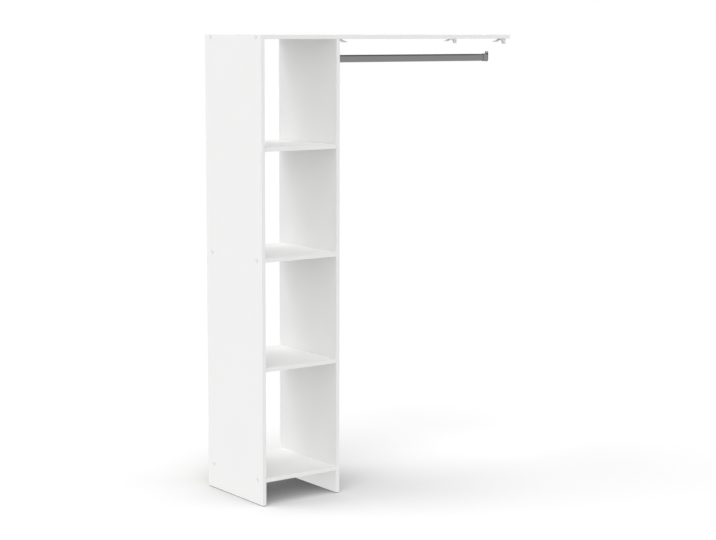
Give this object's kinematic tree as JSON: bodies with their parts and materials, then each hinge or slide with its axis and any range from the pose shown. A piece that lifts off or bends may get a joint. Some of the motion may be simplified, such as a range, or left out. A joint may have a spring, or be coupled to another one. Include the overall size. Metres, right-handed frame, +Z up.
{
  "type": "open-front wardrobe",
  "caption": "Tall open shelf column of white board whose top board runs on sideways over an oval hanging rail, with loose and fixed shelves and flip-cover corner brackets.",
  "frame": {"origin": "on the floor under the middle of the whole unit", "axes": "+Z up, -Y is the open front, +X from the shelf column towards the free end of the top board"},
  "size_m": [1.242, 0.4, 1.82],
  "materials": {
    "white_board": "white melamine-faced chipboard, satin",
    "edge_band": "white edge band, satin",
    "cap_plastic": "pale grey moulded caps",
    "bracket_plastic": "white moulded plastic",
    "rail_steel": "drawn tube, satin grey",
    "socket_zinc": "die-cast, satin grey",
    "screw_zinc": "grey zinc plating",
    "dowel_wood": "raw beech",
    "pin_plastic": "white moulded pins",
    "glide_plastic": "grey moulded glides"
  },
  "bodies": {
    "carcass": {"bottom_shelf": "white_board", "bottom_shelf_dowels": "dowel_wood", "bottom_shelf_edge_band": "edge_band", "bottom_shelf_screws": "screw_zinc", "end_bracket_back": "bracket_plastic", "end_bracket_front": "bracket_plastic", "end_bracket_screws": "screw_zinc", "end_rail_socket": "socket_zinc", "hanging_rail": "rail_steel", "left_floor_glides": "glide_plastic", "left_screw_caps": "cap_plastic", "left_side_edge_band": "edge_band", "left_side_panel": "white_board", "lower_shelf_pins": "pin_plastic", "middle_shelf": "white_board", "middle_shelf_dowels": "dowel_wood", "middle_shelf_edge_band": "edge_band", "middle_shelf_screws": "screw_zinc", "panel_bracket_back": "bracket_plastic", "panel_bracket_front": "bracket_plastic", "panel_bracket_screws": "screw_zinc", "panel_rail_socket": "socket_zinc", "panel_socket_screws": "screw_zinc", "right_floor_glides": "glide_plastic", "right_panel_dowels": "dowel_wood", "right_screw_caps": "cap_plastic", "right_side_edge_band": "edge_band", "right_side_panel": "white_board", "top_board": "white_board", "top_end_edge_band": "edge_band", "top_front_edge_band": "edge_band", "top_joint_dowels": "dowel_wood", "top_joint_screws": "screw_zinc", "upper_shelf_pins": "pin_plastic"},
    "upper_shelf": {"upper_shelf": "white_board", "upper_shelf_edge_band": "edge_band"},
    "lower_shelf": {"lower_shelf": "white_board", "lower_shelf_edge_band": "edge_band"},
    "end_cover_back": {"end_cover_back": "bracket_plastic"},
    "end_cover_front": {"end_cover_front": "bracket_plastic"},
    "panel_cover_back": {"panel_cover_back": "bracket_plastic"},
    "panel_cover_front": {"panel_cover_front": "bracket_plastic"}
  },
  "joints": [
    {"name": "upper_shelf_slide", "type": "slide", "parent": "carcass", "child": "upper_shelf", "axis": [0, -1, 0], "range_m": [0, 0.41]},
    {"name": "lower_shelf_slide", "type": "slide", "parent": "carcass", "child": "lower_shelf", "axis": [0, -1, 0], "range_m": [0, 0.41]},
    {"name": "end_cover_back_hinge", "type": "hinge", "parent": "carcass", "child": "end_cover_back", "pos_m": [0.5936, 0.157, 1.8016], "axis": [0, -1, 0], "range_deg": [0, 120.5]},
    {"name": "end_cover_front_hinge", "type": "hinge", "parent": "carcass", "child": "end_cover_front", "pos_m": [0.5936, -0.163, 1.8016], "axis": [0, -1, 0], "range_deg": [0, 120.5]},
    {"name": "panel_cover_back_hinge", "type": "hinge", "parent": "carcass", "child": "panel_cover_back", "pos_m": [-0.2276, 0.157, 1.8016], "axis": [0, 1, 0], "range_deg": [0, 120.5]},
    {"name": "panel_cover_front_hinge", "type": "hinge", "parent": "carcass", "child": "panel_cover_front", "pos_m": [-0.2276, -0.163, 1.8016], "axis": [0, 1, 0], "range_deg": [0, 120.5]}
  ]
}
